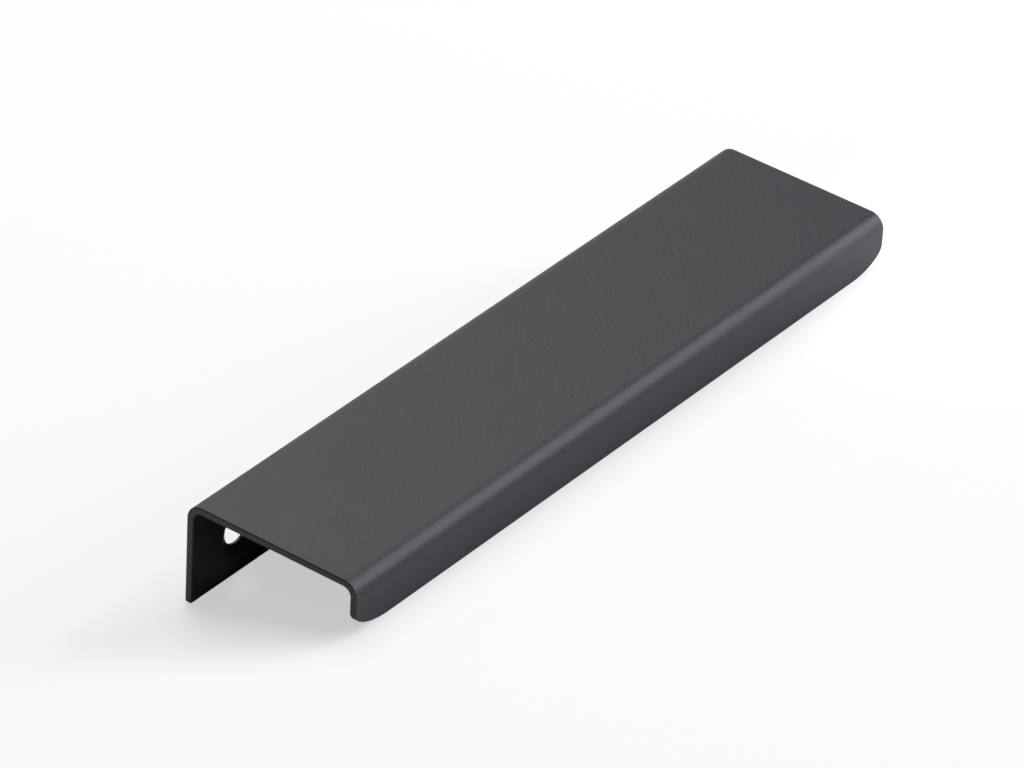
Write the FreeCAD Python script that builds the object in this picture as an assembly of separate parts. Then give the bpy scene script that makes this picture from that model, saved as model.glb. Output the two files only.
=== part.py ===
# Finger pull profile for a handleless door or drawer front: one strip of
# steel sheet, bent along two lines and powder coated matt black.
#
# The plate lies on the edge of the door, the long flange goes down the door's
# back, where two countersunk screws hold it, and the short lip hangs in front
# of the gap that the fingers reach into.
#
# The strip is made square to its plate, in the section's own frame: X along
# the length, the lip at -Y, the flange at +Y, the top of the plate at Z = 0.
# Its two legs are not equally long, so at the end it is turned to the slope at
# which it stands by itself, on the feet of both legs.

import FreeCAD, Part
import math
import os

V = FreeCAD.Vector

# Driving dimensions, in millimetres and degrees

LENGTH = 154.0              # along the door's edge
DEPTH = 37.3                # from the flange's back to the lip's front
SHEET = 1.4                 # 1.2 mm sheet with the coating on both sides
FLANGE_HEIGHT = 20.9        # from the top of the plate to the flange's foot
LIP_HEIGHT = 10.15          # from the top of the plate to the lip's foot

BACK_BEND_INSIDE = 1.8      # inside radius of the bend between plate and flange
FRONT_BEND_INSIDE = 1.6     # inside radius of the bend between plate and lip
LIP_CORNER_RUN = 9.3        # rounded corner of the lip, along the length
LIP_CORNER_RISE = 4.1       # the same corner, up the lip
EDGE_RADIUS = 0.25          # cut edges, softened by tumbling and coating

HOLE_INSET = 13.0           # from each end to a screw's axis: a pitch of 128 mm
HOLE_DROP = 12.1            # from the top of the plate to the screw's axis
HOLE_DIAMETER = 6.3         # clearance for the screw, at the back of the flange
SINK_DIAMETER = 9.6         # mouth of the countersink, on the inner side
SINK_ANGLE = 120.0          # full angle of the countersink

OVERCUT = 1.0               # how far a cutter reaches past the sheet
FLUSH = 0.9                 # cosine between two faces that run smoothly into each other


def bend(side, inside_radius, inset):
    """The arc between a leg and the plate, on the face that lies inset below
    the outer one. side is +1 for the flange and -1 for the lip.
    """
    outside_radius = inside_radius + SHEET
    radius = outside_radius - inset
    centre = V(0, side * (DEPTH / 2 - outside_radius), -outside_radius)
    diagonal = math.sqrt(0.5)
    on_leg = centre + V(0, side * radius, 0)
    half_way = centre + V(0, side * radius * diagonal, radius * diagonal)
    on_plate = centre + V(0, 0, radius)
    return on_leg, half_way, on_plate


def sheet_face(inset):
    """One face of the bent sheet in section, from the flange's foot over the
    plate to the lip's foot, with its two end points.
    """
    back = bend(1, BACK_BEND_INSIDE, inset)
    front = bend(-1, FRONT_BEND_INSIDE, inset)
    flange_foot = V(0, DEPTH / 2 - inset, -FLANGE_HEIGHT)
    lip_foot = V(0, inset - DEPTH / 2, -LIP_HEIGHT)
    chain = [
        Part.LineSegment(flange_foot, back[0]),
        Part.Arc(*back),
        Part.LineSegment(back[2], front[2]),
        Part.Arc(front[2], front[1], front[0]),
        Part.LineSegment(front[0], lip_foot),
    ]
    return chain, flange_foot, lip_foot


def bent_strip():
    """The section between the sheet's two faces, drawn out along the length."""
    outer, outer_flange_foot, outer_lip_foot = sheet_face(0)
    inner, inner_flange_foot, inner_lip_foot = sheet_face(SHEET)
    feet = [
        Part.LineSegment(outer_flange_foot, inner_flange_foot),
        Part.LineSegment(outer_lip_foot, inner_lip_foot),
    ]
    edges = [curve.toShape() for curve in outer + inner + feet]
    section = Part.Face(Part.Wire(Part.__sortEdges__(edges)))
    section.translate(V(-LENGTH / 2, 0, 0))
    return section.extrude(V(LENGTH, 0, 0))


def lip_corner(end):
    """What is cut away at the lip's foot, at the end -1 or +1 of the strip,
    to leave a corner that is a quarter of an ellipse: longer than it is high.
    """
    foot_z = -LIP_HEIGHT
    end_x = end * LENGTH / 2
    centre = V(end_x - end * LIP_CORNER_RUN, 0, foot_z + LIP_CORNER_RISE)
    run_point = V(end_x, 0, centre.z)
    rise_point = V(centre.x, 0, foot_z)
    ellipse = Part.Ellipse(run_point, rise_point, centre)
    first, last = sorted((ellipse.parameter(run_point), ellipse.parameter(rise_point)))
    if last - first > math.pi:
        first, last = last, first + 2 * math.pi
    curve = ellipse.toShape(first, last)
    corner = V(end_x, 0, foot_z)
    sides = [Part.makeLine(run_point, corner), Part.makeLine(corner, rise_point)]
    waste = Part.Face(Part.Wire(Part.__sortEdges__([curve] + sides)))
    waste.translate(V(0, -DEPTH / 2 - OVERCUT, 0))
    return waste.extrude(V(0, SHEET + 2 * OVERCUT, 0))


def soft_edges(strip):
    """Rounds every sharp edge of the cut blank, but not the lines where the
    bends run into the flat stretches.
    """
    sharp = []
    for edge in strip.Edges:
        faces = strip.ancestorsOfType(edge, Part.Face)
        middle = edge.valueAt((edge.FirstParameter + edge.LastParameter) / 2)
        normals = []
        for face in faces:
            u, v = face.Surface.parameter(middle)
            normals.append(face.normalAt(u, v))
        if normals[0].dot(normals[1]) < FLUSH:
            sharp.append(edge)
    return strip.makeFillet(EDGE_RADIUS, sharp)


def screw_hole(x):
    """Clearance hole through the flange, countersunk from the inner side."""
    out = V(0, -1, 0)
    hole_radius = HOLE_DIAMETER / 2
    back = V(x, DEPTH / 2 + OVERCUT, -HOLE_DROP)
    hole = Part.makeCylinder(hole_radius, SHEET + 2 * OVERCUT, back, out)

    spread = math.tan(math.radians(SINK_ANGLE / 2))
    mouth_radius = SINK_DIAMETER / 2
    sink_depth = (mouth_radius - hole_radius) / spread
    bottom = V(x, DEPTH / 2 - SHEET + sink_depth, -HOLE_DROP)
    sink = Part.makeCone(
        hole_radius, mouth_radius + OVERCUT * spread, sink_depth + OVERCUT, bottom, out
    )
    return hole.fuse(sink)


def finger_pull_profile():
    strip = bent_strip()
    strip = strip.cut(lip_corner(-1)).cut(lip_corner(1))
    strip = soft_edges(strip)
    for end in (-1, 1):
        strip = strip.cut(screw_hole(end * (LENGTH / 2 - HOLE_INSET)))
    return strip


def at_rest(strip):
    """Leans the strip forward until both feet are at one level, and puts the
    middle of its footprint over the origin.
    """
    lean = math.degrees(math.atan2(FLANGE_HEIGHT - LIP_HEIGHT, DEPTH - SHEET))
    strip.rotate(V(0, 0, 0), V(1, 0, 0), lean)
    box = strip.optimalBoundingBox(False)
    strip.translate(V(0, -box.Center.y, -box.ZMin))
    print("lean", round(lean, 3), "box", box.XLength, box.YLength, box.ZLength)
    return strip


profile = at_rest(finger_pull_profile())
print("solids", len(profile.Solids), "valid", profile.isValid(), "volume", round(profile.Volume, 1))

os.makedirs("parts", exist_ok=True)
profile.exportStep("parts/finger_pull_profile.step")
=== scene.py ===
# Looks of a matt black finger pull profile, standing on a white studio floor.
#
# The profile is one bent and powder coated strip of steel. Its shape comes
# whole from model.glb, so this script gives it its coating, the floor, the
# lamps and the camera.

import math

import bpy
from mathutils import Matrix, Vector

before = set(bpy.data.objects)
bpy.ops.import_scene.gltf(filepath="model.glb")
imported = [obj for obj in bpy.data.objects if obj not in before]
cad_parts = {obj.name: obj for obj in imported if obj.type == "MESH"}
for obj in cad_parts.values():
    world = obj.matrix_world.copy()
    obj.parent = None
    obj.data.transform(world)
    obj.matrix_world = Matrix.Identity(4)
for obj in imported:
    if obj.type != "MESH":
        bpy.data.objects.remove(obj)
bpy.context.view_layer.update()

MM = 0.001
PROFILE = "finger_pull_profile"

# Powder coat

COAT_BLACK = "#1a1920"
COAT_GREY = "#1f1e26"         # where the film stayed drier and paler
COAT_IOR = 1.45
PEEL_WIDTH = 0.8 * MM         # from one bump of the film to the next
PEEL_HEIGHT = 0.045 * MM
CLOUD_WIDTH = 9 * MM          # from one patch of drier film to the next
SMOOTH_FILM = 0.47            # roughness where it ran out flat
DRY_FILM = 0.53               # roughness where it stayed dry

# Studio

FLOOR_SIZE = 6.0              # metres
FLOOR_PAPER = "#f4f4f4"
FLOOR_LIFT = 0.55             # how far the paper is brought to pure white
SHADE_REACH = 30 * MM         # how near to the profile the painted shade in its sheen reaches
SHADE_DEPTH = 2.5             # how steeply it then falls off
SHADE_SAMPLES = 4             # enough for so soft a shade
WORLD_GREY = "#505050"
PURE_WHITE = "#ffffff"
LAMP_WHITE = "#ffffff"
LAMP_COOL = "#f8f6ff"
FAR_PAPER = Vector((95, -60, 0)) * MM       # the paper that the lip's far end mirrors

# Camera, with its angles in degrees and its lens and sensor in millimetres

CAMERA_AZIMUTH = -46.82
CAMERA_ELEVATION = 23.44
CAMERA_ROLL = -11.52
CAMERA_AIM = Vector((-11.65, -4.31, 14.76)) * MM     # a point on top of the plate
CAMERA_DISTANCE = 1251.0 * MM
CAMERA_LENS = 250.2
CAMERA_SENSOR = 36.0


def linear(hex_colour):
    """An sRGB hex colour as the linear RGBA that shaders and lamps take."""
    channels = []
    for i in (1, 3, 5):
        c = int(hex_colour[i:i + 2], 16) / 255
        channels.append(c / 12.92 if c <= 0.04045 else ((c + 0.055) / 1.055) ** 2.4)
    return (*channels, 1.0)


def node(tree, kind, inputs, **settings):
    """Adds a node, sets its properties, and fills or links its inputs, each
    named by its label or its number.
    """
    made = tree.nodes.new(kind)
    for name, value in settings.items():
        setattr(made, name, value)
    for key, value in inputs.items():
        socket = made.inputs[key]
        if isinstance(value, bpy.types.NodeSocket):
            tree.links.new(value, socket)
        else:
            socket.default_value = value
    return made


def direction(azimuth, elevation):
    """The unit vector that points away from the profile at those angles, in
    degrees: azimuth 0 is straight in front of the lip, and 90 past its +X end.
    """
    a, e = math.radians(azimuth), math.radians(elevation)
    return Vector((math.sin(a) * math.cos(e), -math.cos(a) * math.cos(e), math.sin(e)))


def new_material(name):
    material = bpy.data.materials.new(name)
    material.use_nodes = True
    tree = material.node_tree
    tree.nodes.clear()
    return material, tree


def matt_powder_coat():
    """Polyester powder, sprayed on and baked: a matt film that melts into very
    low, rounded bumps, so the sheen is broad and faintly grained. In patches
    it stays a little drier and paler, which clouds the sheen.
    """
    material, tree = new_material("matt_black_powder_coat")
    place = node(tree, "ShaderNodeTexCoord", {}).outputs["Object"]
    cloud = node(
        tree,
        "ShaderNodeTexNoise",
        {"Vector": place, "Scale": 1 / CLOUD_WIDTH, "Detail": 3.0, "Roughness": 0.6},
    ).outputs["Fac"]
    colour = node(
        tree,
        "ShaderNodeMix",
        {"Factor": cloud, "A": linear(COAT_BLACK), "B": linear(COAT_GREY)},
        data_type="RGBA",
    )
    roughness = node(
        tree,
        "ShaderNodeMapRange",
        {"Value": cloud, "To Min": SMOOTH_FILM, "To Max": DRY_FILM},
    )
    peel = node(
        tree,
        "ShaderNodeTexNoise",
        {"Vector": place, "Scale": 1 / PEEL_WIDTH, "Detail": 2.0, "Roughness": 0.5},
    )
    bump = node(
        tree,
        "ShaderNodeBump",
        {"Strength": 1.0, "Distance": PEEL_HEIGHT, "Height": peel.outputs["Fac"]},
    )
    coat = node(
        tree,
        "ShaderNodeBsdfPrincipled",
        {
            "Base Color": colour.outputs["Result"],
            "Roughness": roughness.outputs["Result"],
            "IOR": COAT_IOR,
            "Normal": bump.outputs["Normal"],
        },
    )
    node(tree, "ShaderNodeOutputMaterial", {"Surface": coat.outputs["BSDF"]})
    return material


def floor_paper():
    """Seamless white paper. To the camera, and in the sheen of the profile, it
    is brought part of the way to pure white, which leaves its shadows pale.
    In the sheen this fades, by ambient occlusion, where something hangs close over the paper.
    That is painted shade, so that the gap under the plate mirrors dark.
    """
    material, tree = new_material("white_paper")
    paper = node(tree, "ShaderNodeBsdfDiffuse", {"Color": linear(FLOOR_PAPER)})
    white = node(tree, "ShaderNodeEmission", {"Color": linear(PURE_WHITE), "Strength": 1.0})
    # Painted shade: ambient occlusion takes the white lift out of the sheen under and close round
    # the profile, which darkens what its inner faces mirror.
    bare = node(
        tree, "ShaderNodeAmbientOcclusion", {"Distance": SHADE_REACH}, samples=SHADE_SAMPLES
    )
    painted_shade_fade = node(tree, "ShaderNodeMath", {0: bare.outputs["AO"], 1: SHADE_DEPTH}, operation="POWER")
    ray = node(tree, "ShaderNodeLightPath", {}).outputs
    sheen = node(
        tree,
        "ShaderNodeMath",
        {0: ray["Is Glossy Ray"], 1: painted_shade_fade.outputs["Value"]},
        operation="MULTIPLY",
    )
    seen = ray["Is Camera Ray"]
    for other in (sheen.outputs["Value"], ray["Is Transmission Ray"]):
        either = node(tree, "ShaderNodeMath", {0: seen, 1: other}, operation="MAXIMUM")
        seen = either.outputs["Value"]
    lift = node(tree, "ShaderNodeMath", {0: seen, 1: FLOOR_LIFT}, operation="MULTIPLY")
    lifted = node(
        tree,
        "ShaderNodeMixShader",
        {"Fac": lift.outputs["Value"], 1: paper.outputs["BSDF"], 2: white.outputs["Emission"]},
    )
    node(tree, "ShaderNodeOutputMaterial", {"Surface": lifted.outputs["Shader"]})
    return material


def dress_profile():
    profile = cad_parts[PROFILE]
    profile.data.materials.clear()
    profile.data.materials.append(matt_powder_coat())


def studio_floor():
    half = FLOOR_SIZE / 2
    corners = [(-half, -half, 0), (half, -half, 0), (half, half, 0), (-half, half, 0)]
    mesh = bpy.data.meshes.new("floor")
    mesh.from_pydata(corners, [], [(0, 1, 2, 3)])
    mesh.materials.append(floor_paper())
    floor = bpy.data.objects.new("floor", mesh)
    bpy.context.scene.collection.objects.link(floor)


def softbox(name, away, distance, size, power, colour=LAMP_WHITE, aim=Vector(), spread=180):
    """A square area lamp that faces the aim from that direction, in metres and
    watts. A spread under 180 degrees narrows its beam.
    """
    lamp = bpy.data.lights.new(name, "AREA")
    lamp.size = size
    lamp.spread = math.radians(spread)
    lamp.energy = power
    lamp.color = linear(colour)[:3]
    made = bpy.data.objects.new(name, lamp)
    made.location = aim + away * distance
    made.rotation_euler = away.to_track_quat("Z", "Y").to_euler()
    made.visible_camera = False
    bpy.context.scene.collection.objects.link(made)


def studio_light():
    """Plate and back bend mirror the two lamps behind, the front bend mirrors
    the two in front, and the lip mirrors the paper, brightest at its far end.
    """
    world = bpy.data.worlds.new("studio")
    world.use_nodes = True
    tree = world.node_tree
    tree.nodes.clear()
    glow = node(tree, "ShaderNodeBackground", {"Color": linear(WORLD_GREY), "Strength": 1.0})
    node(tree, "ShaderNodeOutputWorld", {"Surface": glow.outputs["Background"]})
    bpy.context.scene.world = world
    softbox("overhead", direction(60, 75), distance=1.5, size=1.0, power=10)
    softbox("back_right_high", direction(130, 52), distance=1.5, size=0.8, power=6.6)
    softbox("back_right_low", direction(138, 14), distance=1.5, size=0.5, power=1.3)
    softbox(
        "front_right_high", direction(55, 34), distance=4.0, size=1.4, power=72, colour=LAMP_COOL
    )
    softbox(
        "front_right_low", direction(35, 15), distance=4.0, size=1.4, power=86, colour=LAMP_COOL
    )
    softbox(
        "far_end",
        direction(0, 90),
        distance=30 * MM,
        size=30 * MM,
        power=0.045,
        colour=LAMP_COOL,
        aim=FAR_PAPER,
        spread=135,
    )


def camera():
    """A long lens that looks down on the plate. It is rolled, so that the
    profile's slope doesn't show.
    """
    back = direction(CAMERA_AZIMUTH, CAMERA_ELEVATION)
    level = direction(CAMERA_AZIMUTH + 90, 0)
    upright = back.cross(level)
    roll = math.radians(CAMERA_ROLL)
    right = math.cos(roll) * level + math.sin(roll) * upright
    up = math.cos(roll) * upright - math.sin(roll) * level
    data = bpy.data.cameras.new("camera")
    data.lens = CAMERA_LENS
    data.sensor_width = CAMERA_SENSOR
    made = bpy.data.objects.new("camera", data)
    turn = Matrix((right, up, back)).transposed().to_4x4()
    made.matrix_world = Matrix.Translation(CAMERA_AIM + back * CAMERA_DISTANCE) @ turn
    bpy.context.scene.collection.objects.link(made)
    bpy.context.scene.camera = made


dress_profile()
studio_floor()
studio_light()
camera()
bpy.context.scene.view_settings.view_transform = "Standard"
